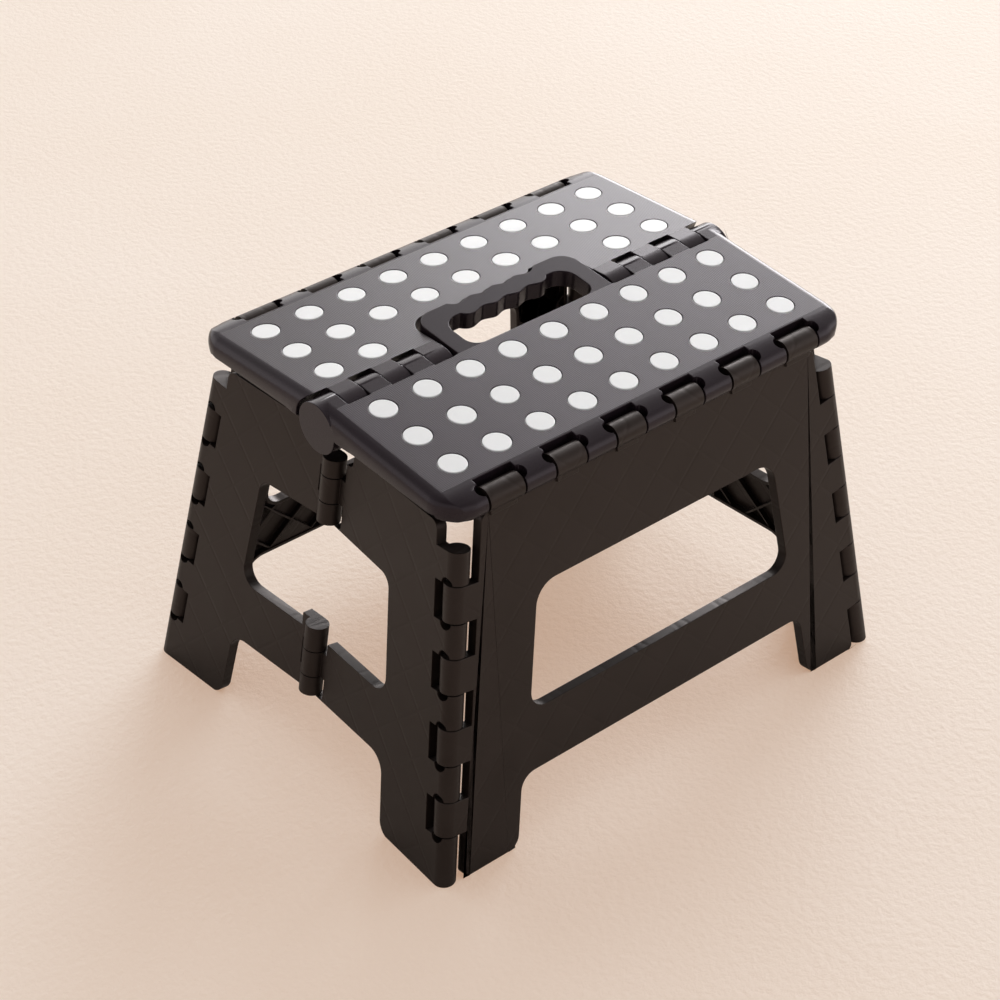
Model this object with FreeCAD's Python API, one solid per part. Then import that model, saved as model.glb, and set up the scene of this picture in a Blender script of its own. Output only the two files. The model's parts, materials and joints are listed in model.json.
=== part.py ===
import FreeCAD, Part
import os
from math import sin, cos, tan, asin, atan2, radians, degrees, sqrt, hypot

V = FreeCAD.Vector
Rot = FreeCAD.Rotation
X, Y, Z = V(1, 0, 0), V(0, 1, 0), V(0, 0, 1)
os.makedirs("parts", exist_ok=True)

# Pose as photographed: both top halves tilt down from the ridge, the ends are folded in a little
ridge_z = 227.0
top_tilt = 3.72
end_turn = 3.43

# Corner hinge lines: place on the floor, and how far they lean in along x per mm of height
corner_x = 155.2
corner_y = 120.7
corner_dx = 0.150125

# Hinge barrels, their stub pins and the snap-in mouths beside them
barrel_r = 6.4
mid_proud = 0.3
pin_r = 2.6
pin_gap = 0.05
open_pin_gap = 0.5
pin_grip = 2.4
pin_end_gap = 0.8
axial_gap = 0.5
bite_r = 3.7
bite_from = 1.8
bite_len = 14.0
web_reach = 12.0

# Top halves: x along the ridge, u away from it, w up, origin on the centre hinge
centre_depth = 14.4
top_x = 139.2
top_u = 105.0
top_corner_r = 13.0
top_edge_r = 7.0
skin = 2.6
wall = 2.4
rim_w_in = 0.3
rim_w_out = 3.4
rim_u_in = 22.0
rim_out = 17.0

# Centre hinge: knuckles at both ends of the ridge, in turn on each half
centre_count = 6
centre_pin_r = 3.2
centre_pin_gap = 2.2
socket_gap = 2.2
socket_wall = 2.9
knuckle_side = 0.3

# Long-edge hinges: six barrels on each leg between knuckles on the top half's round edge
hinge_drop = 8.1
rail_r = 6.7
rail_from = 200.0
rail_gap = 0.8
rail_wall = 1.6
crown_in = 6.9
barrel_pitch = 40.35
barrel_half = 9.5
barrel_extra = 3.0
notch_gap = 1.2

# Carry handle: a tongue on the front half with a hand hole and a wavy grip bar
tongue_half = 53.5
tongue_len = 30.0
tongue_root = 14.0
tongue_r = 11.0
tongue_thick = 10.0
tongue_gap = 1.7
ridge_gap = 8.0
hole_half = 43.0
hole_front = 7.7
hole_r = 8.0
hole_back_r = 10.0
grip_w = 11.0
wave_pitch = 7.5
grip_bump = 1.3
grip_dip = 3.3
hole_bump = 1.6
hole_dip = 3.5

# Grip dots
dot_r = 7.5
dot_gap = 0.25
dot_depth = 1.5
dot_first_u = 21.3
dot_edge_u = 29.7
dot_edge_x = 25.6

# Panels of the legs and ends
panel_inner = 0.2
panel_skin = 2.2
panel_rim = 2.2
slot_gap = 8.9
slot_r = 5.0
foot_r = 3.0

# Ribs crossing on the diagonal inside the panels and under the top
rib_pitch = 21.0
rib_thick = 1.4
rib_back = 0.8
top_rib_low = 5.0

# Leg: heights are measured up the slope
leg_edge_gap = 0.6
leg_hinge_out = 5.3
leg_tab_in = 3.5
leg_tab_out = 2.6
leg_tab_low = 1.8
leg_tab_side = 2.4
leg_arch_s = 41.3
leg_arch_side = 45.5
leg_arch_r = 10.0
leg_arch_foot_r = 8.0
leg_sill_s = 78.3
leg_head_drop = 62.8
leg_window_side = 48.5
leg_sill_r = 10.0
leg_head_r = 14.0

# Ends: heights are measured up the middle line
end_top_gap = 7.3
ear_gap = 0.9
ear_side = 0.6
ear_notch_r = 3.0
end_arch_s = 44.5
end_arch_side = 48.6
end_arch_r = 12.0
end_arch_foot_r = 9.0
end_sill_s = 81.5
end_sill_r = 10.0
end_window_side = 47.0
end_head_gap = 0.8
end_head_rise = 3.0
end_head_r = 8.0
mid_edge = 0.4
mid_slot = 10.3
mid_slot_gap = 1.0
mid_slot_r = 2.0

# Knuckle ends: heights below the leg hinge at the corners, below the ear or above the floor at the middle
knuckle_drop = (23.9, 42.2, 62.8, 82.1, 102.2, 122.0, 142.7, 163.6, 184.3)
foot_z = -2.0
mid_drop_upper = (0.0, 10.5, 25.5, 38.5)
mid_z_lower = (88.7, 73.6, 57.7, 45.5)

# Worked out from the above
tilt = radians(top_tilt)
axis_z = ridge_z - centre_depth / cos(tilt)
hinge_u = top_u - rail_r
hinge_w = centre_depth - hinge_drop
hinge_y = hinge_u * cos(tilt) + hinge_w * sin(tilt)
hinge_z = axis_z - hinge_u * sin(tilt) + hinge_w * cos(tilt)
press_drop = hinge_u * sin(tilt)
hinge_in = corner_y - hinge_y
leg_slope = degrees(atan2(hinge_in, hinge_z) + asin(leg_hinge_out / hypot(hinge_in, hinge_z)))
corner_dy = tan(radians(leg_slope))
pin_len = axial_gap + pin_grip
bore_r = pin_r + pin_gap
bore_len = pin_grip + pin_end_gap
socket_r = centre_depth + socket_gap
centre_bore_r = centre_pin_r + centre_pin_gap
knuckle_in = tongue_half + tongue_gap + knuckle_side
knuckle_pitch = (top_x - knuckle_in) / centre_count
notch_u = hinge_u - rail_r - rail_gap
dot_pitch = (top_x - dot_edge_x) / 4
dot_last_u = top_u - dot_edge_u
dot_rows = (dot_first_u, (dot_first_u + dot_last_u) / 2, dot_last_u)
mid_top_z = axis_z - press_drop - centre_depth - ear_gap
mid_z_upper = [mid_top_z - drop for drop in mid_drop_upper]
knuckle_z = [hinge_z - drop for drop in knuckle_drop] + [foot_z]
margin = 1.0


def rounded(points, radii):
    """Closed face from a polygon whose corners are rounded to the radii given."""
    count = len(points)
    arcs = {}
    ends = []
    for i in range(count):
        p, before, after = (V(*points[j % count], 0) for j in (i, i - 1, i + 1))
        if radii[i] == 0:
            ends.append((p, p))
            continue
        a = (before - p).normalize()
        b = (after - p).normalize()
        half = a.getAngle(b) / 2
        reach = radii[i] / tan(half)
        middle = p + (a + b).normalize() * (radii[i] / sin(half) - radii[i])
        arcs[i] = Part.Arc(p + a * reach, middle, p + b * reach).toShape()
        ends.append((p + a * reach, p + b * reach))
    chain = []
    for i in range(count):
        if i in arcs:
            chain.append(arcs[i])
        a, b = ends[i][1], ends[(i + 1) % count][0]
        if a.distanceToPoint(b) > 1e-6:
            chain.append(Part.makeLine(a, b))
    return Part.Face(Part.Wire(chain))


def slab(face, z0, z1):
    """Plan face raised to a plate between two heights."""
    plate = face.copy()
    plate.translate(V(0, 0, z0))
    return plate.extrude(V(0, 0, z1 - z0))


def bar(points, x0, x1):
    """Prism along x with a polygon section given in the y-z plane."""
    section = [V(x0, y, z) for y, z in points]
    return Part.Face(Part.makePolygon(section + section[:1])).extrude(V(x1 - x0, 0, 0))


def block(x0, x1, y0, y1, z0, z1):
    return Part.makeBox(x1 - x0, y1 - y0, z1 - z0, V(x0, y0, z0))


def rod(r, x0, x1, y, z):
    """Round bar along x."""
    return Part.makeCylinder(r, x1 - x0, V(x0, y, z), X)


def span(side, a, b):
    """Range a to b on the right side, or its mirror image on the left."""
    return (a, b) if side > 0 else (-b, -a)


def fuse(shapes):
    return shapes[0].multiFuse(shapes[1:]).removeSplitter()


def lattice(box, z0, z1):
    """Two rows of thin ribs crossing on the diagonal over the plan of a box."""
    reach = box.XLength + box.YLength
    count = int(reach / rib_pitch / 2)
    ribs = []
    for angle in (45, -45):
        for i in range(-count, count + 1):
            rib = block(-reach, reach, i * rib_pitch - rib_thick / 2, i * rib_pitch + rib_thick / 2, z0, z1)
            rib.rotate(V(0, 0, 0), Z, angle)
            rib.translate(V(box.Center.x, box.Center.y, 0))
            ribs.append(rib)
    return ribs


def wavy(face, edge_u, bump, dip):
    """Finger scallops cut into the straight edge of a face."""
    steps = (0, dip, bump, dip, bump, dip, bump, dip, 0)
    points = [V((i - 4) * wave_pitch, edge_u + step, 0) for i, step in enumerate(steps)]
    curve = Part.BSplineCurve()
    curve.interpolate(points)
    scallops = Part.Face(Part.Wire([curve.toShape(), Part.makeLine(points[-1], points[0])]))
    return face.cut(scallops).Faces[0]


def tongue_face(grow):
    """Outline of the handle tongue, let out all round by the gap given."""
    half = tongue_half + grow
    end = -tongue_len - grow
    r = tongue_r + grow
    face = rounded([(-half, tongue_root), (-half, end), (half, end), (half, tongue_root)], [0, r, r, 0])
    return wavy(face, end, grip_bump, grip_dip)


def hand_hole():
    """Opening between the grip bar and the top."""
    back = grip_w - tongue_len
    corners = [(-hole_half, hole_front), (-hole_half, back), (hole_half, back), (hole_half, hole_front)]
    return wavy(rounded(corners, [hole_r, hole_back_r, hole_back_r, hole_r]), back, hole_bump, hole_dip)


def dot_columns(front):
    """Dot centres of each column; the middle columns of the rear half make room for the handle."""
    turn = -1 if front else 1
    columns = []
    for i in range(9):
        rows = dot_rows if front or i in (0, 1, 7, 8) else dot_rows[1:]
        columns.append([(turn * (i - 4) * dot_pitch, u) for u in rows])
    return columns


def centre_turns(front):
    """Which places on the centre hinge, counted from the handle, belong to a half."""
    return range(1 if front else 0, centre_count, 2)


def centre_hinge(front):
    """Knuckles and stub pins of one half, and the bores for the other half's pins."""
    solids = []
    bores = []
    for side in (-1, 1):
        for k in centre_turns(front):
            last = k == centre_count - 1
            a = knuckle_in + k * knuckle_pitch + axial_gap / 2
            b = top_x if last else a + knuckle_pitch - axial_gap
            solids.append(rod(centre_depth, *span(side, a, b), 0, 0))
            if front:
                tip = b if last else b + pin_len
                solids.append(rod(centre_pin_r, *span(side, a - pin_len, tip), 0, 0))
                continue
            bores.append(rod(centre_bore_r, *span(side, b - bore_len, b), 0, 0))
            if k > 0:
                bores.append(rod(centre_bore_r, *span(side, a, a + bore_len), 0, 0))
    return solids, bores


def leg_barrels():
    """x ranges of the six barrels on a leg; the two outermost are a little longer."""
    ranges = []
    for i in range(3):
        a = (i + 0.5) * barrel_pitch - barrel_half
        b = a + 2 * barrel_half + (barrel_extra if i == 2 else 0)
        ranges += [(a, b), (-b, -a)]
    return ranges


def top_section():
    """Outline of a half across the ridge: rim below, round hinge rail outside, crowned edge above."""
    rise = centre_depth - hinge_w
    crown_r = (crown_in ** 2 + rise ** 2 - rail_r ** 2) / (2 * (rise - rail_r))
    crown = V(0, hinge_u - crown_in, centre_depth - crown_r)
    meet = degrees(atan2(crown_r - rise, crown_in))

    def around(middle, r, angle):
        return middle + V(0, cos(radians(angle)), sin(radians(angle))) * r

    hinge = V(0, hinge_u, hinge_w)
    half_way = (rail_from + meet) / 2 + 180
    low, out, high = (around(hinge, rail_r, angle) for angle in (rail_from, half_way, meet))
    rim = [V(0, 0, rim_w_in), V(0, rim_u_in, rim_w_in), V(0, top_u - rim_out, rim_w_out), low]
    flat = V(0, crown.y, centre_depth)
    edges = [Part.makeLine(a, b) for a, b in zip(rim, rim[1:])]
    edges.append(Part.Arc(low, out, high).toShape())
    edges.append(Part.Arc(high, around(crown, crown_r, (90 + meet) / 2), flat).toShape())
    edges.append(Part.makeLine(flat, V(0, 0, centre_depth)))
    edges.append(Part.makeLine(V(0, 0, centre_depth), rim[0]))
    return Part.Face(Part.Wire(edges))


def top_plate():
    """Outer form of a top half: its section run along the ridge, rounded at the ends and corners."""
    length = top_section()
    length.translate(V(-top_x, 0, 0))
    length = length.extrude(V(2 * top_x, 0, 0))
    corners = [(-top_x, 0), (top_x, 0), (top_x, top_u), (-top_x, top_u)]
    plan = rounded(corners, [0, 0, top_corner_r, top_corner_r])
    ends = slab(plan, -rail_r, centre_depth)
    rim = [e for e in ends.Edges
           if all(abs(v.Z - centre_depth) < 1e-6 for v in e.Vertexes) and e.CenterOfMass.y > margin]
    return length.common(ends.makeFillet(top_edge_r, rim))


def top_hollow(front):
    """Hollow, ribbed underside between the centre sockets and the rail."""
    low, roof = -rail_r, centre_depth - skin
    near, far = socket_r + socket_wall, notch_u - rail_wall
    inner_x = top_x - wall
    hollow = block(-inner_x, inner_x, near, far, low, roof)
    ribs = lattice(hollow.BoundBox, top_rib_low, centre_depth)
    if not front:
        arm_x = tongue_half + tongue_gap + wall
        behind = tongue_len + tongue_gap + wall
        ribs.append(block(-arm_x, arm_x, near - margin, behind, low, roof))
    return hollow.cut(ribs)


def top_half(front):
    """One half of the top: plate, knuckles, and on the front half the carry handle."""
    low, high = -margin, centre_depth + margin
    cuts = [top_hollow(front)]
    for side in (-1, 1):
        for k in centre_turns(not front):
            a = knuckle_in + k * knuckle_pitch
            reach = span(side, a - axial_gap / 2, a + knuckle_pitch + axial_gap / 2)
            cuts.append(rod(socket_r, *reach, 0, 0))
    if front:
        cuts.append(block(-knuckle_in, knuckle_in, low, hole_front, low, high))
    else:
        notch = slab(tongue_face(tongue_gap), low, high)
        notch.rotate(V(0, 0, 0), Z, 180)
        cuts.append(notch)
        cuts.append(block(-knuckle_in, knuckle_in, -tongue_root, ridge_gap, low, high))
    for a, b in leg_barrels():
        cuts.append(block(a - notch_gap, b + notch_gap, notch_u, top_u + margin, -rail_r, high))
    body = top_plate().cut(cuts)

    solids, bores = centre_hinge(front)
    if front:
        handle = slab(tongue_face(0), centre_depth - tongue_thick, centre_depth)
        solids.append(handle.cut(slab(hand_hole(), low, high)))
    body = fuse([body] + solids)

    # Sockets for the leg pins, each with a snap-in mouth above
    for a, b in leg_barrels():
        for x, side in ((a - notch_gap, -1), (b + notch_gap, 1)):
            end = V(x, hinge_u, hinge_w)
            bores.append(Part.makeCylinder(bore_r, bore_len, end, X * side))
            bores.append(Part.makeCylinder(bite_r, bite_len, end + Z * bite_from, Z))
    for column in dot_columns(front):
        for x, u in column:
            foot = V(x, u, centre_depth - dot_depth)
            bores.append(Part.makeCylinder(dot_r + dot_gap, dot_depth + margin, foot, Z))
    return body.cut(bores).removeSplitter()


def dots(column):
    """Grip dots of one column, flush with the top."""
    low = centre_depth - dot_depth
    return Part.makeCompound([Part.makeCylinder(dot_r, dot_depth, V(x, u, low), Z) for x, u in column])


def hollow_panel(face):
    """Panel plate with a rim all round and an open, ribbed pocket on its inner side."""
    pocket = slab(face.makeOffset2D(-panel_rim), panel_inner - margin, barrel_r - panel_skin)
    ribs = lattice(pocket.BoundBox, panel_inner + rib_back, barrel_r)
    return slab(face, panel_inner, barrel_r).cut(pocket.cut(ribs))


def along(line_z):
    """Distance along a corner hinge line for a height above the floor."""
    return line_z * sqrt(1 + corner_dx ** 2 + corner_dy ** 2)


def knuckle(foot, axis, inward, a, b, depth=0):
    """Hinge barrel on a line in the panel's plane, with its web to the panel."""
    barrel = Part.makeCylinder(barrel_r, b - a, foot + axis * a + Z * depth, axis)
    base = foot + axis * a
    tip = base + inward * web_reach
    corners = [base + Z * panel_inner, tip + Z * panel_inner, tip + Z * barrel_r, base + Z * barrel_r]
    web = Part.Face(Part.makePolygon(corners + corners[:1])).extrude(axis * (b - a))
    return [barrel, web]


def leg():
    """Leg panel: x across, y up the slope, z outward, zero on the hinge plane."""
    slope = radians(leg_slope)
    lean = corner_dx * cos(slope)
    top_s = hinge_z * cos(slope) + hinge_in * sin(slope)
    panel_top = top_s - rail_r - leg_edge_gap
    head_s = top_s - leg_head_drop
    foot_s = -barrel_r * tan(slope)

    def edge(s, gap):
        return corner_x - lean * s - gap * hypot(1, lean)

    def both(right):
        return right + [(-x, s) for x, s in reversed(right)]

    out = [(edge(foot_s, slot_gap), foot_s), (edge(panel_top, slot_gap), panel_top)]
    arch = [(-edge(foot_s, leg_arch_side), foot_s), (-edge(leg_arch_s, leg_arch_side), leg_arch_s)]
    arch_radii = [leg_arch_foot_r, leg_arch_r, leg_arch_r, leg_arch_foot_r]
    outer = rounded(both(out) + both(arch), [foot_r, slot_r, slot_r, foot_r] + arch_radii)
    side = [(edge(leg_sill_s, leg_window_side), leg_sill_s), (edge(head_s, leg_window_side), head_s)]
    window = rounded(both(side), [leg_sill_r, leg_head_r, leg_head_r, leg_sill_r])
    solids = [hollow_panel(outer.cut(window).Faces[0])]

    # Long-edge barrels stand proud of the panel, each on a short tab
    tab = [(panel_top - leg_tab_low, leg_hinge_out - leg_tab_in), (top_s, leg_hinge_out - leg_tab_in),
           (top_s, leg_hinge_out + leg_tab_out), (panel_top - leg_tab_low, leg_hinge_out + leg_tab_out)]
    pin_out = notch_gap + pin_grip
    for a, b in leg_barrels():
        solids.append(rod(rail_r, a, b, top_s, leg_hinge_out))
        solids.append(rod(pin_r, a - pin_out, b + pin_out, top_s, leg_hinge_out))
        solids.append(bar(tab, a + leg_tab_side, b - leg_tab_side))
    for side in (-1, 1):
        axis = V(-side * lean, 1, 0).normalize()
        inward = V(-side, -lean, 0).normalize()
        foot = V(side * corner_x, 0, 0)
        for i in range(1, 9, 2):
            a = along(knuckle_z[i + 1]) + axial_gap / 2
            b = along(knuckle_z[i]) - axial_gap / 2
            solids += knuckle(foot, axis, inward, a, b)
            solids.append(Part.makeCylinder(pin_r, b - a + 2 * pin_len, foot + axis * (a - pin_len), axis))
    return fuse(solids)


# End panel frame on the front left: x from the middle hinge to the corner, y up, z outward
corner_foot = V(-corner_x, -corner_y, 0)
corner_axis = V(corner_dx, corner_dy, 1).normalize()
end_normal = Rot(corner_axis, -end_turn).multVec(V(-corner_axis.z, 0, corner_axis.x).normalize())
end_up = V(end_normal.z, 0, -end_normal.x).normalize()
end_across = end_up.cross(end_normal)
mid_offset = barrel_r + mid_proud
reach = corner_foot + end_normal * mid_offset
mid_line = reach - end_across * (reach.y / end_across.y)
mid_foot = mid_line - end_up * (mid_line.z / end_up.z)
end_origin = mid_foot - end_normal * mid_offset


def end_panel(plain, loose):
    """Half of an end panel; the plain half carries the single middle knuckles."""
    foot = V((corner_foot - end_origin).dot(end_across), (corner_foot - end_origin).dot(end_up), 0)
    axis = V(corner_axis.dot(end_across), corner_axis.dot(end_up), 0)
    inward = V(-axis.y, axis.x, 0)
    middles = [[z / end_up.z for z in heights] for heights in (mid_z_upper, mid_z_lower)]

    def edge(s, gap):
        p = foot + inward * gap
        return p.x + axis.x / axis.y * (s - p.y)

    low = foot.y - barrel_r * end_normal.z
    high = (axis_z - press_drop + rim_w_in - end_top_gap) / end_up.z
    ear_x, ear_s = centre_depth + ear_side, middles[0][0]
    head_mid = middles[0][3] - end_head_gap
    head_s = head_mid - end_head_rise
    outline = [
        ((mid_edge, end_arch_s), 0),
        ((edge(end_arch_s, end_arch_side), end_arch_s), end_arch_r),
        ((edge(low, end_arch_side), low), end_arch_foot_r),
        ((edge(low, slot_gap), low), foot_r),
        ((edge(high, slot_gap), high), slot_r),
        ((ear_x, high), ear_notch_r),
        ((ear_x, ear_s), ear_notch_r),
        ((mid_edge, ear_s), 0),
        ((mid_edge, head_mid), 0),
        ((edge(head_s, end_window_side), head_s), end_head_r),
        ((edge(end_sill_s, end_window_side), end_sill_s), end_sill_r),
        ((mid_edge, end_sill_s), 0),
    ]
    face = rounded([point for point, r in outline], [r for point, r in outline])
    for heights in middles:
        a, b = heights[3] - mid_slot_gap, heights[0] + mid_slot_gap
        corners = [(-margin, a), (mid_slot, a), (mid_slot, b), (-margin, b)]
        slot = rounded(corners, [0, mid_slot_r, mid_slot_r, 0])
        face = face.cut(slot).Faces[0]
    solids = [hollow_panel(face)]

    # Corner knuckles with sockets for the leg's pins; the lowest runs down to the floor
    bores = []
    for i in range(0, 9, 2):
        a = along(knuckle_z[i + 1]) + (axial_gap / 2 if i < 8 else 0)
        b = along(knuckle_z[i]) - axial_gap / 2
        solids += knuckle(foot, axis, inward, a, b)
        ends = [(a, 1)] if i == 0 else [(b, -1)] if i == 8 else [(a, 1), (b, -1)]
        for end, step in ends:
            bores.append(Part.makeCylinder(bore_r, bore_len, foot + axis * end, axis * step))
            bores.append(Part.makeCylinder(bite_r, bite_len, foot + axis * end + Z * bite_from, Z))

    # Middle knuckles
    socket = pin_r + (open_pin_gap if loose else pin_gap)
    for heights in middles:
        for i in (1,) if plain else (0, 2):
            a, b = heights[i + 1] + axial_gap / 2, heights[i] - axial_gap / 2
            solids += knuckle(V(0, 0, 0), Y, X, a, b, mid_offset)
            if plain:
                pin_foot = V(0, a - pin_len, mid_offset)
                solids.append(Part.makeCylinder(pin_r, b - a + 2 * pin_len, pin_foot, Y))
            else:
                end, step = (a, 1) if i == 0 else (b, -1)
                bores.append(Part.makeCylinder(socket, bore_len, V(0, end, mid_offset), Y * step))
    return fuse(solids).cut(bores).removeSplitter()


def place(shape, placement, turned):
    """Move a part into the shared frame; a turned part is the one on the opposite side."""
    moved = shape.copy()
    turn = FreeCAD.Placement(V(0, 0, 0), Rot(Z, 180 if turned else 0))
    moved.Placement = turn * placement * shape.Placement
    return moved


def write(name, shape, placement, turned):
    place(shape, placement, turned).cut(floor).exportStep("parts/%s.step" % name)


# Everything stands on the floor, so the feet are cut level there
floor = block(-2 * corner_x, 2 * corner_x, -2 * corner_y, 2 * corner_y, -2 * barrel_r, 0)

# Placements of the three kinds of panel
top_at = FreeCAD.Placement(V(0, 0, axis_z), Rot(X, -top_tilt))
leg_at = FreeCAD.Placement(V(0, -corner_y, 0), Rot(X, 90 - leg_slope))
end_at = FreeCAD.Placement(end_origin, Rot(end_across, end_up, end_normal, "ZYX"))
as_made = FreeCAD.Placement()

for half, front in (("front", True), ("rear", False)):
    write("top_%s" % half, top_half(front), top_at, front)
    for i, column in enumerate(dot_columns(front)):
        write("dots_%s_%d" % (half, i + 1), dots(column), top_at, front)

leg_shape = leg()
write("leg_front", leg_shape, leg_at, False)
write("leg_rear", leg_shape, leg_at, True)

# The second half of an end mirrors the first apart from its middle knuckles
for side, turned, halves in (("left", False, ("front", "rear")), ("right", True, ("rear", "front"))):
    plain = place(end_panel(True, turned), end_at, False)
    paired = place(end_panel(False, turned), end_at, False).mirror(V(0, 0, 0), Y)
    write("end_%s_%s" % (side, halves[0]), plain, as_made, turned)
    write("end_%s_%s" % (side, halves[1]), paired, as_made, turned)
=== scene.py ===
import json
from math import cos, pi, radians, sin

import bmesh
import bpy
import numpy as np
from mathutils import Matrix, Vector


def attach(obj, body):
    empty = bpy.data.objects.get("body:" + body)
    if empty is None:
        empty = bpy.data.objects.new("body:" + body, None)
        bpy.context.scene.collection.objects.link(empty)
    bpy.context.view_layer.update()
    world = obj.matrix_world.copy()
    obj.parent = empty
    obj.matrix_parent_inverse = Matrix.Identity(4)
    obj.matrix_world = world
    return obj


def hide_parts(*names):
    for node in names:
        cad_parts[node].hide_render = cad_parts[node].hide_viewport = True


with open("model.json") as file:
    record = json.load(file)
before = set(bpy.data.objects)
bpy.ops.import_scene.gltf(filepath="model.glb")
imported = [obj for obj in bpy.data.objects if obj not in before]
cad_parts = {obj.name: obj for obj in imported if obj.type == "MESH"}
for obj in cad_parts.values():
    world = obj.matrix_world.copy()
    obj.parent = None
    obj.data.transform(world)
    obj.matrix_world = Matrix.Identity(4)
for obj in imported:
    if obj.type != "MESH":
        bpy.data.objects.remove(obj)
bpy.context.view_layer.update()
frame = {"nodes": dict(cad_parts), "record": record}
scene = bpy.context.scene
scene.view_settings.view_transform = "Standard"

# Panel nodes with their kind of material, and the side of the ridge that each top half lies on
PANELS = {
    "top_front": "top_front",
    "top_rear": "top_rear",
    "leg_front": "leg",
    "leg_rear": "leg",
    "end_left_front": "end",
    "end_left_rear": "end",
    "end_right_front": "end",
    "end_right_rear": "end",
}
TOP_SIDES = {"top_front": -1, "top_rear": 1}

# Facets within the first angle of each other count as one plane, and edges beyond the second are sharp
SAME_PLANE_ANGLE = radians(0.35)
SAME_PLANE = cos(SAME_PLANE_ANGLE)
SHARP = radians(48)

# Lengths in metres: points that merge, points on a cut across a hole, and the shortest side of a flat face
MERGE = 1e-6
ON_CUT = 1e-7
FLAT_SIDE = 0.0025

# Radii of the moulded edges in metres, steps of their rounding, and weight of large faces in the shading
EDGE_ROUND = {"top": 0.0004, "leg": 0.0004, "end": 0.0002, "dot": 0.0005}
ROUND_STEPS = 2
FACE_WEIGHT = 80

# Plane of a top half, its size, and its corner radius in the solids and here, in metres
TOP_TILT = radians(3.72)
TOP_AXIS_Z = 0.2126
TOP_X = 0.1392
TOP_U = 0.105
CORNER_WAS = 0.013
CORNER_NOW = 0.0193

# Below the first height the end's nose goes in, and below the second the corner's lip goes up, in metres
NOSE_W = 0.0075
NOSE_IN = 0.001
LIP_W = 0.004
LIP_UP = 0.0024

# Cuts that let the ends bend, in metres: along the ridge, away from it and up
CUTS_X = (0.1205, 0.1225, 0.1245)
CUTS_U = (0.020, 0.024, 0.028, 0.0865, 0.0885, 0.0905)
CUTS_W = (0.0015, 0.003, 0.0045, 0.006)

# Spans over which the nose sets in, in metres, and over which the lip sets in and both end, in radians
NOSE_SPAN_X = (0.125, 0.136)
NOSE_SPAN_U = (0.018, 0.028)
LIP_SPAN = (0.05, 0.4)
RAIL_SPAN = (0.9, 1.4)

# Least distance along the ridge at which an angle round the corner is taken, in metres
TINY = 1e-9

# Knurled field of the top, in metres from the middle
KNURL_X = 0.1326
KNURL_NEAR = 0.0088
KNURL_FAR = 0.0902
KNURL_LOW = 0.2195

# Noise textures: scale per metre, detail and roughness; and the span of a noise that carries its contrast
GRAIN_NOISE = (2600.0, 1.0)
MOTTLE_NOISE = (34.0, 3.0, 0.6)
CLOUD_NOISE = (3.0, 3.0)
LEATHER_NOISE = (220.0, 4.0, 0.6)
NOISE_SPAN = (0.3, 0.7)

# Lines over the ribs and knurl, in metres, and the shares of the knurl's waves along x and y
RIB_PITCH = 0.03
RIB_WIDTH = 0.002
KNURL_PITCH = 0.00115
KNURL_SHARES = (0.65, 0.35)

# Depth of the relief in metres, and the shares that make up its height and the tone of the top; the knurl's
# share of the tone is painted shade, darker in its grooves than on its crests
PANEL_RELIEF = 0.00012
PANEL_GRAIN = 0.12
PANEL_SINK = 0.6
TOP_RELIEF = 0.00008
TOP_GRAIN = 0.05
TONE_MOTTLE = 0.3
TONE_KNURL_PAINTED_SHADE = 0.9
TONE_BORDER = 0.45
DOT_RELIEF = 0.00003
FLOOR_RELIEF = 0.0006

# Gloss: specular levels, plain roughness of each material, and the spans that textures give it
SHELL_SPECULAR = 0.36
DOT_SPECULAR = 0.5
FLOOR_SPECULAR = 0.1
PANEL_ROUGH = 0.4
PANEL_ROUGH_SPAN = (0.36, 0.46)
TOP_ROUGH = 0.45
TOP_ROUGH_SPAN = (0.27, 0.29)
DOT_ROUGH = 0.4
FLOOR_ROUGH = 0.6

# Colours, linear
SHELL_DARK = (0.0100, 0.0066, 0.0054)
SHELL_LIGHT = (0.0155, 0.0105, 0.0088)
SHELL_TOP = (0.0150, 0.0090, 0.0145)
SHELL_SHEEN = (1.0, 0.80, 0.74)
TOP_SHEEN = (1.0, 0.87, 0.94)
DOT_WHITE = (0.95, 0.95, 0.95)
DOT_SHADE = (0.92, 0.92, 0.92)
FLOOR_CREAM = (0.86, 0.755, 0.655)
FLOOR_SHADE = (0.83, 0.715, 0.61)
# To the camera the floor takes the lit colours below and adds a steady glow: painted warm fill light that
# lifts the shadows on it
FLOOR_LIT_CREAM = (0.54, 0.62, 0.63)
FLOOR_LIT_SHADE = (0.52, 0.59, 0.59)
FLOOR_PAINTED_FILL_GLOW = (0.43, 0.255, 0.16)
BLACK = (0, 0, 0)

# Surroundings: tint, strength on the camera's side and behind the object, and gain at the horizon and above
SKY_TINT = (1.0, 0.985, 0.97)
SKY_NEAR = 0.31
SKY_FAR = 0.95
SKY_LOW = 2.2
SKY_HIGH = 0.66

# Level direction in which the surroundings get brighter, and the spans of both changes
SKY_AWAY_X = 0.80
SKY_AWAY_Y = 0.60
SKY_TURN = (-0.9, 0.9)
SKY_RISE = (0.3, 0.64)

# Floor and lamp, in metres and watts
FLOOR_HALF = 6.0
LAMP_PLACE = (4.8, 2.96, 1.51)
LAMP_TARGET = (0, 0, 0.15)
LAMP_SIZE = 4.0
LAMP_POWER = 265.0
LAMP_COLOUR = (0.98, 0.98, 1.0)

# Camera of the photo: place and axes, lens and film width in millimetres, and reach in metres
CAMERA_PLACE = (-0.7769, -0.8640, 0.9657)
CAMERA_RIGHT = (0.7582, -0.6518, 0.0167)
CAMERA_UP = (0.3788, 0.4612, 0.8023)
CAMERA_BACK = (-0.5306, -0.6021, 0.5966)
CAMERA_LENS = 94.0
CAMERA_FILM = 36.0
CAMERA_REACH = 50.0


# Shader helpers

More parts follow.
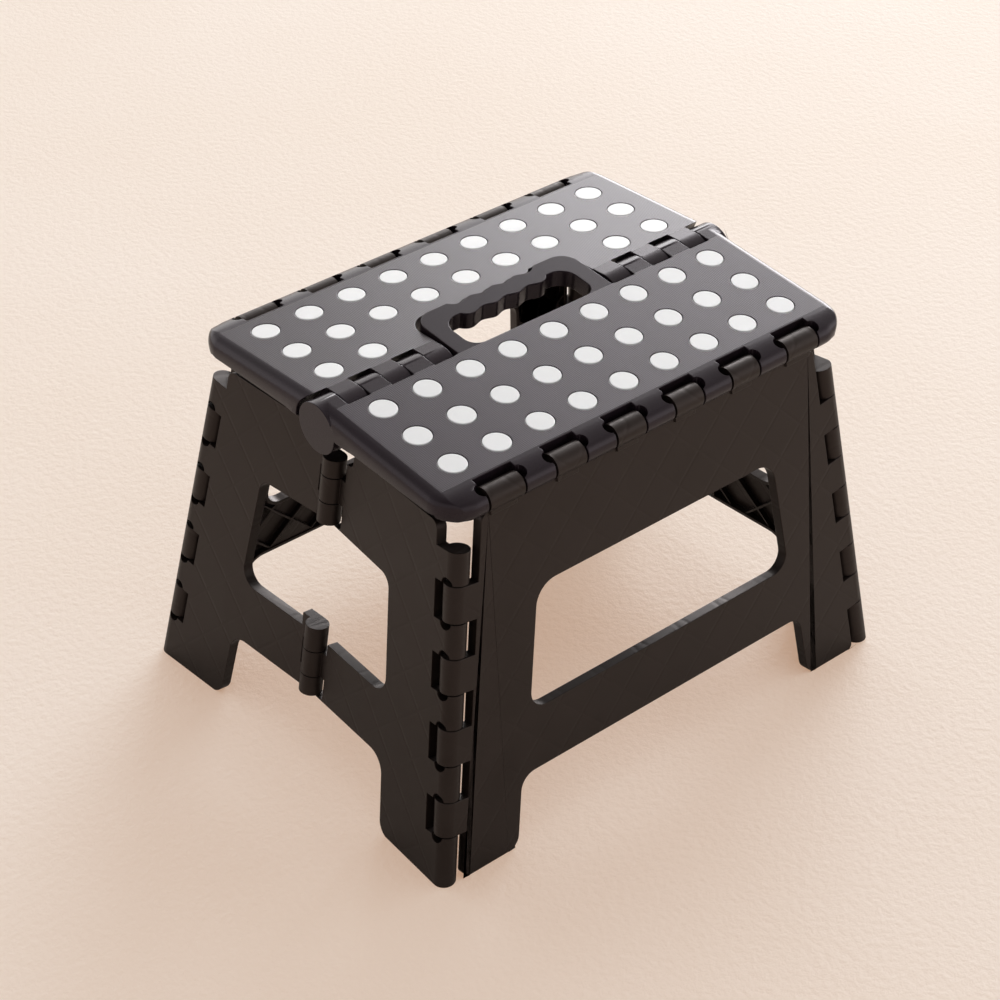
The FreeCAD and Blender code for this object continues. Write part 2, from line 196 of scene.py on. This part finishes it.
def new_group(name, inputs, outputs):
    """Empty shader group with named inputs and outputs; returns it with its end nodes."""
    group = bpy.data.node_groups.new(name, "ShaderNodeTree")
    for label, kind, value in inputs:
        socket = group.interface.new_socket(label, in_out="INPUT", socket_type=kind)
        if value is not None:
            socket.default_value = value
    for label, kind in outputs:
        group.interface.new_socket(label, in_out="OUTPUT", socket_type=kind)
    return group, group.nodes.new("NodeGroupInput"), group.nodes.new("NodeGroupOutput")


def place_group(tree, group):
    """Node that uses a shader group in a tree."""
    node = tree.nodes.new("ShaderNodeGroup")
    node.node_tree = group
    return node


def calc(tree, operation, a, b=0.0, clamp=False):
    """One Math node; a and b are sockets or numbers."""
    node = tree.nodes.new("ShaderNodeMath")
    node.operation = operation
    node.use_clamp = clamp
    for socket, value in zip(node.inputs, (a, b)):
        if isinstance(value, (int, float)):
            socket.default_value = value
        else:
            tree.links.new(value, socket)
    return node.outputs[0]


def ramp_between(tree, value, low, high, to_low=0.0, to_high=1.0):
    """Smooth step of a socket, from to_low at low to to_high at high."""
    node = tree.nodes.new("ShaderNodeMapRange")
    node.interpolation_type = "SMOOTHSTEP"
    for index, number in ((1, low), (2, high), (3, to_low), (4, to_high)):
        node.inputs[index].default_value = number
    tree.links.new(value, node.inputs[0])
    return node.outputs[0]


def object_place(tree):
    """Object coordinates as a vector socket."""
    return tree.nodes.new("ShaderNodeTexCoord").outputs["Object"]


def split_xyz(tree, vector):
    """The x, y and z sockets of a vector socket."""
    split = tree.nodes.new("ShaderNodeSeparateXYZ")
    tree.links.new(vector, split.inputs[0])
    return split.outputs[0], split.outputs[1], split.outputs[2]


def mix_colour(tree, factor, a, b):
    """Colour that goes from a to b with a socket; a and b are colours."""
    node = tree.nodes.new("ShaderNodeMix")
    node.data_type = "RGBA"
    node.inputs[6].default_value = (*a, 1)
    node.inputs[7].default_value = (*b, 1)
    tree.links.new(factor, node.inputs[0])
    return node.outputs[2]


def noise(tree, vector, scale, detail=2.0, rough=0.5):
    """Value of a noise texture at a place."""
    node = tree.nodes.new("ShaderNodeTexNoise")
    node.inputs["Scale"].default_value = scale
    node.inputs["Detail"].default_value = detail
    node.inputs["Roughness"].default_value = rough
    tree.links.new(vector, node.inputs["Vector"])
    return node.outputs[0]


def add_bump(tree, shader, height, distance):
    """Relief of a shader from a height socket; distance is the depth in metres."""
    bump = tree.nodes.new("ShaderNodeBump")
    bump.inputs["Distance"].default_value = distance
    bump.inputs["Strength"].default_value = 1.0
    tree.links.new(height, bump.inputs["Height"])
    tree.links.new(bump.outputs[0], shader.inputs["Normal"])


# Shared effects

def moulded_grain_group():
    """Satin mould finish: fine grain as height, soft mottling as a mask."""
    group, start, end = new_group(
        "moulded_grain",
        [("Place", "NodeSocketVector", None)],
        [("Height", "NodeSocketFloat"), ("Mottle", "NodeSocketFloat")])
    place = start.outputs["Place"]
    fine = noise(group, place, *GRAIN_NOISE)
    flow = noise(group, place, *MOTTLE_NOISE)
    group.links.new(fine, end.inputs["Height"])
    group.links.new(ramp_between(group, flow, *NOISE_SPAN), end.inputs["Mottle"])
    return group


def rib_lines_group():
    """Sink lines over a diagonal rib lattice: distance to the nearest line of both families."""
    group, start, end = new_group(
        "rib_sink_lines",
        [("Across", "NodeSocketFloat", 0.0), ("Up", "NodeSocketFloat", 0.0),
         ("Pitch", "NodeSocketFloat", RIB_PITCH), ("Width", "NodeSocketFloat", RIB_WIDTH)],
        [("Line", "NodeSocketFloat")])
    lines = []
    for operation in ("ADD", "SUBTRACT"):
        run = calc(group, operation, start.outputs["Across"], start.outputs["Up"])
        turn = calc(group, "DIVIDE", run, start.outputs["Pitch"])
        saw = calc(group, "FRACT", turn)
        off = calc(group, "ABSOLUTE", calc(group, "SUBTRACT", saw, 0.5))
        dist = calc(group, "MULTIPLY", calc(group, "SUBTRACT", 0.5, off), start.outputs["Pitch"])
        widths = calc(group, "DIVIDE", dist, start.outputs["Width"])
        lines.append(calc(group, "SUBTRACT", 1.0, widths, clamp=True))
    group.links.new(calc(group, "MAXIMUM", lines[0], lines[1]), end.inputs["Line"])
    return group


def knurl_group():
    """Fine square knurl: rows of ridges along y crossed by fainter ones along x, as rectified sines."""
    group, start, end = new_group(
        "knurl",
        [("X", "NodeSocketFloat", 0.0), ("Y", "NodeSocketFloat", 0.0),
         ("Pitch", "NodeSocketFloat", KNURL_PITCH)],
        [("Height", "NodeSocketFloat")])
    waves = []
    for label, share in zip(("X", "Y"), KNURL_SHARES):
        turn = calc(group, "DIVIDE", start.outputs[label], start.outputs["Pitch"])
        wave = calc(group, "ABSOLUTE", calc(group, "SINE", calc(group, "MULTIPLY", turn, pi)))
        waves.append(calc(group, "MULTIPLY", wave, share))
    group.links.new(calc(group, "ADD", waves[0], waves[1]), end.inputs["Height"])
    return group


GRAIN = moulded_grain_group()
RIB_LINES = rib_lines_group()
KNURL = knurl_group()


# Materials

def new_material(name, roughness, specular):
    """Material with its Principled shader; returns both and the node tree."""
    material = bpy.data.materials.new(name)
    material.use_nodes = True
    shader = material.node_tree.nodes["Principled BSDF"]
    shader.inputs["Roughness"].default_value = roughness
    shader.inputs["Specular IOR Level"].default_value = specular
    return material, shader, material.node_tree


def panel_material(name, across_axis):
    """Satin dark shell of the legs and ends, with faint lines over the ribs inside."""
    material, shader, tree = new_material(name, PANEL_ROUGH, SHELL_SPECULAR)
    shader.inputs["Specular Tint"].default_value = (*SHELL_SHEEN, 1)
    place = object_place(tree)
    x, y, z = split_xyz(tree, place)
    grain = place_group(tree, GRAIN)
    tree.links.new(place, grain.inputs["Place"])
    ribs = place_group(tree, RIB_LINES)
    tree.links.new(x if across_axis == "x" else y, ribs.inputs["Across"])
    tree.links.new(z, ribs.inputs["Up"])
    colour = mix_colour(tree, grain.outputs["Mottle"], SHELL_DARK, SHELL_LIGHT)
    tree.links.new(colour, shader.inputs["Base Color"])
    rough = ramp_between(tree, grain.outputs["Mottle"], 0.0, 1.0, *PANEL_ROUGH_SPAN)
    tree.links.new(rough, shader.inputs["Roughness"])
    sunk = calc(tree, "MULTIPLY", ribs.outputs["Line"], PANEL_SINK)
    raised = calc(tree, "MULTIPLY", grain.outputs["Height"], PANEL_GRAIN)
    add_bump(tree, shader, calc(tree, "SUBTRACT", raised, sunk), PANEL_RELIEF)
    return material


def top_material(name, side):
    """Knurled top with a smooth border, whose colour is darker in the knurl's grooves than on its crests as
    painted shade; side is -1 for the front half and 1 for the rear half.
    """
    material, shader, tree = new_material(name, TOP_ROUGH, SHELL_SPECULAR)
    shader.inputs["Specular Tint"].default_value = (*TOP_SHEEN, 1)
    place = object_place(tree)
    x, y, z = split_xyz(tree, place)
    grain = place_group(tree, GRAIN)
    tree.links.new(place, grain.inputs["Place"])
    knurl = place_group(tree, KNURL)
    tree.links.new(x, knurl.inputs["X"])
    tree.links.new(y, knurl.inputs["Y"])
    out = calc(tree, "MULTIPLY", y, float(side))
    inside = calc(tree, "LESS_THAN", calc(tree, "ABSOLUTE", x), KNURL_X)
    for value, operation, limit in ((out, "LESS_THAN", KNURL_FAR), (out, "GREATER_THAN", KNURL_NEAR),
                                    (z, "GREATER_THAN", KNURL_LOW)):
        inside = calc(tree, "MULTIPLY", inside, calc(tree, operation, value, limit))
    knurled = calc(tree, "MULTIPLY", knurl.outputs["Height"], inside)
    border = calc(tree, "SUBTRACT", 1.0, inside)
    # Colour tone: random mottling, a flat share on the border, and the knurl's height, which paints shade
    # into its grooves and lighter crests
    tone_with_painted_shade = calc(tree, "MULTIPLY", grain.outputs["Mottle"], TONE_MOTTLE)
    tone_with_painted_shade = calc(tree, "ADD", tone_with_painted_shade, calc(tree, "MULTIPLY", knurled, TONE_KNURL_PAINTED_SHADE))
    tone_with_painted_shade = calc(tree, "ADD", tone_with_painted_shade, calc(tree, "MULTIPLY", border, TONE_BORDER))
    tree.links.new(mix_colour(tree, tone_with_painted_shade, SHELL_DARK, SHELL_TOP), shader.inputs["Base Color"])
    rough = ramp_between(tree, inside, 0.0, 1.0, *TOP_ROUGH_SPAN)
    tree.links.new(rough, shader.inputs["Roughness"])
    raised = calc(tree, "MULTIPLY", grain.outputs["Height"], TOP_GRAIN)
    add_bump(tree, shader, calc(tree, "ADD", raised, knurled), TOP_RELIEF)
    return material


def dot_material():
    """Soft white grip dots, faintly mottled."""
    material, shader, tree = new_material("grip_dot", DOT_ROUGH, DOT_SPECULAR)
    grain = place_group(tree, GRAIN)
    tree.links.new(object_place(tree), grain.inputs["Place"])
    colour = mix_colour(tree, grain.outputs["Mottle"], DOT_SHADE, DOT_WHITE)
    tree.links.new(colour, shader.inputs["Base Color"])
    add_bump(tree, shader, grain.outputs["Height"], DOT_RELIEF)
    return material


def floor_material():
    """Cream floor with a fine leathery relief; to the camera it glows a little, as on a lit sweep: a
    painted warm fill light that lightens and warms the object's shadow on the floor.
    """
    material, shader, tree = new_material("cream_floor", FLOOR_ROUGH, FLOOR_SPECULAR)
    place = object_place(tree)
    cloud = ramp_between(tree, noise(tree, place, *CLOUD_NOISE), *NOISE_SPAN)
    seen = tree.nodes.new("ShaderNodeLightPath").outputs["Is Camera Ray"]
    lit = tree.nodes.new("ShaderNodeMix")
    lit.data_type = "RGBA"
    tree.links.new(seen, lit.inputs[0])
    tree.links.new(mix_colour(tree, cloud, FLOOR_SHADE, FLOOR_CREAM), lit.inputs[6])
    tree.links.new(mix_colour(tree, cloud, FLOOR_LIT_SHADE, FLOOR_LIT_CREAM), lit.inputs[7])
    tree.links.new(lit.outputs[2], shader.inputs["Base Color"])
    # Glow seen only by the camera: painted fill light in the floor's shadows
    tree.links.new(mix_colour(tree, seen, BLACK, FLOOR_PAINTED_FILL_GLOW), shader.inputs["Emission Color"])
    shader.inputs["Emission Strength"].default_value = 1.0
    add_bump(tree, shader, noise(tree, place, *LEATHER_NOISE), FLOOR_RELIEF)
    return material


MATERIALS = {
    "top_front": top_material("top_front_shell", TOP_SIDES["top_front"]),
    "top_rear": top_material("top_rear_shell", TOP_SIDES["top_rear"]),
    "leg": panel_material("leg_shell", "x"),
    "end": panel_material("end_shell", "y"),
}
DOT = dot_material()


# Pieces

def parts_of(faces):
    """Faces with their edges and corners, each once and in a fixed order."""
    return list(dict.fromkeys(part for face in faces for part in (face, *face.edges, *face.verts)))


def flat_patches(work, cuts):
    """Groups of neighbouring facets that lie in one plane, ending at the cut edges."""
    seen = set()
    patches = []
    for seed in work.faces:
        if seed in seen:
            continue
        seen.add(seed)
        patch = []
        queue = [seed]
        while queue:
            face = queue.pop()
            patch.append(face)
            for other in [near for edge in face.edges if edge not in cuts for near in edge.link_faces]:
                if other not in seen and other.normal.dot(seed.normal) > SAME_PLANE:
                    seen.add(other)
                    queue.append(other)
        patches.append(patch)
    return patches


def holes_in(patch):
    """Number of holes in a flat patch, from its counts of corners, edges and facets."""
    verts = {vert for face in patch for vert in face.verts}
    edges = {edge for face in patch for edge in face.edges}
    return 1 - (len(verts) - len(edges) + len(patch))


def rim_middles(patch):
    """x of the middle of each closed rim of a patch, in rising order."""
    inside = set(patch)
    rims = {edge for face in patch for edge in face.edges if not inside.issuperset(edge.link_faces)}
    middles = set()
    while rims:
        queue = [rims.pop()]
        places = []
        while queue:
            edge = queue.pop()
            places += [vert.co.x for vert in edge.verts]
            near = {other for vert in edge.verts for other in vert.link_edges} & rims
            rims -= near
            queue += near
        middles.add(round((min(places) + max(places)) / 2, 4))
    return sorted(middles)


def join_flat_facets(work):
    """Make single faces of the flat patches, cut across at their holes; returns the flat faces."""
    cuts = set()
    for patch in flat_patches(work, cuts):
        if holes_in(patch) < 1:
            continue
        for x in rim_middles(patch):
            geom = parts_of(face for face in patch if face.is_valid)
            done = bmesh.ops.bisect_plane(
                work, geom=geom, plane_co=(x, 0, 0), plane_no=(1, 0, 0), dist=ON_CUT)
            patch = [part for part in done["geom"] if isinstance(part, bmesh.types.BMFace)]
            cuts.update(part for part in done["geom_cut"] if isinstance(part, bmesh.types.BMEdge))
    flat = set()
    for patch in flat_patches(work, cuts):
        if len(patch) > 2 and holes_in(patch) == 0:
            flat.update(bmesh.ops.dissolve_faces(work, faces=patch, use_verts=False)["region"])
    triangles = [face for face in work.faces if len(face.verts) == 3]
    bmesh.ops.join_triangles(
        work, faces=triangles, angle_face_threshold=SAME_PLANE_ANGLE, angle_shape_threshold=pi)
    flat.update(face for face in work.faces if min(edge.calc_length() for edge in face.edges) > FLAT_SIDE)
    return flat


def mark_edges(work, flat):
    """Sharp edges of the flat faces are rounded by the bevel; other sharp edges stay crisp."""
    weight = work.edges.layers.float.new("bevel_weight_edge")
    for edge in work.edges:
        if len(edge.link_faces) == 2 and edge.calc_face_angle() > SHARP:
            if flat.isdisjoint(edge.link_faces):
                edge.smooth = False
            else:
                edge[weight] = 1.0


def top_axes(side):
    """Point on the ridge of a top half, and its directions away from the ridge and up."""
    ridge = Vector((0, 0, TOP_AXIS_Z))
    out = Vector((0, side * cos(TOP_TILT), -sin(TOP_TILT)))
    up = Vector((0, side * sin(TOP_TILT), cos(TOP_TILT)))
    return ridge, out, up


def cut_ends(work, side):
    """Cut the ends of a top half across, so that they can bend."""
    ridge, out, up = top_axes(side)
    along = Vector((1, 0, 0))
    planes = [(sign * x * along, along) for sign in (-1, 1) for x in CUTS_X]
    planes += [(ridge + u * out, out) for u in CUTS_U]
    planes += [(ridge + w * up, up) for w in CUTS_W]
    for place, normal in planes:
        ends = [face for face in work.faces
                if max(abs(vert.co.x) for vert in face.verts) > TOP_X - CORNER_NOW]
        bmesh.ops.bisect_plane(work, geom=parts_of(ends), plane_co=place, plane_no=normal, dist=MERGE)


def smooth_step(value, low, high):
    """Smooth step from 0 at low to 1 at high, on an array."""
    t = np.clip((value - low) / (high - low), 0, 1)
    return t * t * (3 - 2 * t)


def round_ends(mesh, side):
    """Give a top half its round noses and corners; side is -1 for the front half and 1 for the rear half.

    In the half's own plane x runs along the ridge, u away from it and w up. At a corner, a point at
    distance r from the centre of the new radius R moves to r (1 - (1 - R / D) (r / D)^3), where D is the
    old edge's distance in the same direction, on the old arc or on the straight edge beside it. Below
    NOSE_W a point of the end moves in by NOSE_IN (1 - w / NOSE_W)^2, and below LIP_W a point of the corner
    moves up by LIP_UP (1 - w / LIP_W)^2, both faded by smooth steps.
    """
    ridge, out, up = (np.array(vector) for vector in top_axes(side))
    stored = np.empty(3 * len(mesh.vertices), np.float32)
    mesh.vertices.foreach_get("co", stored)
    places = stored.reshape(-1, 3).astype(float)
    x = np.abs(places[:, 0])
    u = (places - ridge) @ out
    w = (places - ridge) @ up
    right = x - (TOP_X - CORNER_NOW)
    far = np.maximum(u - (TOP_U - CORNER_NOW), 0)
    angle = np.arctan2(far, np.maximum(right, TINY))
    span = np.hypot(right, far)
    flat = CORNER_NOW - CORNER_WAS
    along = flat * (np.cos(angle) + np.sin(angle))
    edge = along + np.sqrt(np.maximum(along ** 2 - 2 * flat ** 2 + CORNER_WAS ** 2, 0))
    nearest = np.minimum(angle, pi / 2 - angle)
    edge = np.where(flat > CORNER_NOW * np.tan(nearest), CORNER_NOW / np.cos(nearest), edge)
    shrink = np.where(right > 0, (1 - CORNER_NOW / edge) * np.minimum(span / edge, 1) ** 3, 0)

    before_rail = 1 - smooth_step(angle, *RAIL_SPAN)
    nose = NOSE_IN * np.maximum(1 - w / NOSE_W, 0) ** 2 * before_rail
    nose *= smooth_step(x, *NOSE_SPAN_X) * smooth_step(u, *NOSE_SPAN_U)
    lip = LIP_UP * np.maximum(1 - w / LIP_W, 0) ** 2 * before_rail * smooth_step(angle, *LIP_SPAN)
    move_x = -shrink * right - nose * np.cos(angle)
    move_u = -shrink * far - nose * np.sin(angle)
    moved = places + np.outer(move_u, out) + np.outer(lip, up)
    moved[:, 0] += np.sign(places[:, 0]) * move_x
    mesh.vertices.foreach_set("co", moved.astype(np.float32).ravel())
    mesh.update()


def softened(node, material, edge_round):
    """Copy of a solid with its flat facets joined and its edges rounded a little."""
    mesh = frame["nodes"][node].data.copy()
    work = bmesh.new()
    work.from_mesh(mesh)
    bmesh.ops.remove_doubles(work, verts=work.verts, dist=MERGE)
    if node in TOP_SIDES:
        cut_ends(work, TOP_SIDES[node])
        work.to_mesh(mesh)
        round_ends(mesh, TOP_SIDES[node])
        work.clear()
        work.from_mesh(mesh)
    work.normal_update()
    mark_edges(work, join_flat_facets(work))
    for face in work.faces:
        face.smooth = True
    work.to_mesh(mesh)
    work.free()
    mesh.materials.clear()
    mesh.materials.append(material)
    piece = bpy.data.objects.new(node + "_skin", mesh)
    scene.collection.objects.link(piece)
    round_edges = piece.modifiers.new("round_edges", "BEVEL")
    round_edges.width = edge_round
    round_edges.segments = ROUND_STEPS
    round_edges.limit_method = "WEIGHT"
    round_edges.use_clamp_overlap = False
    even_shading = piece.modifiers.new("even_shading", "WEIGHTED_NORMAL")
    even_shading.weight = FACE_WEIGHT
    even_shading.keep_sharp = True
    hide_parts(node)
    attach(piece, body_of[node])


body_of = {node: body for body, nodes in frame["record"]["behaviour"]["bodies"].items() for node in nodes}
for panel_node, panel_kind in PANELS.items():
    softened(panel_node, MATERIALS[panel_kind], EDGE_ROUND[panel_kind[:3]])
for dot_node in sorted(set(body_of) - set(PANELS)):
    softened(dot_node, DOT, EDGE_ROUND["dot"])


# Stage

def floor():
    """Large level floor just under the feet, one square face."""
    half = FLOOR_HALF
    corners = [(-half, -half, 0), (half, -half, 0), (half, half, 0), (-half, half, 0)]
    mesh = bpy.data.meshes.new("floor")
    mesh.from_pydata(corners, [], [(0, 1, 2, 3)])
    mesh.materials.append(floor_material())
    plane = bpy.data.objects.new("floor", mesh)
    scene.collection.objects.link(plane)


def lamp(name):
    """Round area lamp low at the back right, aimed at the object."""
    light = bpy.data.lights.new(name, "AREA")
    light.shape = "DISK"
    light.size = LAMP_SIZE
    light.energy = LAMP_POWER
    light.color = LAMP_COLOUR
    holder = bpy.data.objects.new(name, light)
    scene.collection.objects.link(holder)
    aim = Vector(LAMP_TARGET) - Vector(LAMP_PLACE)
    turn = aim.to_track_quat("-Z", "Y").to_matrix().to_4x4()
    holder.matrix_world = Matrix.Translation(LAMP_PLACE) @ turn


def camera():
    """Camera fitted to the photograph: place, three axes and focal length."""
    data = bpy.data.cameras.new("photo_view")
    data.sensor_width = CAMERA_FILM
    data.lens = CAMERA_LENS
    data.clip_end = CAMERA_REACH
    turn = Matrix((CAMERA_RIGHT, CAMERA_UP, CAMERA_BACK)).transposed().to_4x4()
    holder = bpy.data.objects.new("photo_view", data)
    scene.collection.objects.link(holder)
    holder.matrix_world = Matrix.Translation(CAMERA_PLACE) @ turn
    scene.camera = holder


def sky():
    """Pale surroundings, brighter behind the object than on the camera's side, and brightest when low."""
    world = bpy.data.worlds.new("studio")
    world.use_nodes = True
    tree = world.node_tree
    background = tree.nodes["Background"]
    x, y, z = split_xyz(tree, tree.nodes.new("ShaderNodeTexCoord").outputs["Generated"])
    right = calc(tree, "MULTIPLY", x, SKY_AWAY_X)
    away = calc(tree, "ADD", right, calc(tree, "MULTIPLY", y, SKY_AWAY_Y))
    around = ramp_between(tree, away, *SKY_TURN, SKY_NEAR, SKY_FAR)
    above = ramp_between(tree, z, *SKY_RISE, SKY_LOW, SKY_HIGH)
    tree.links.new(calc(tree, "MULTIPLY", around, above), background.inputs["Strength"])
    background.inputs["Color"].default_value = (*SKY_TINT, 1)
    scene.world = world


floor()
lamp("window_light")
sky()
camera()
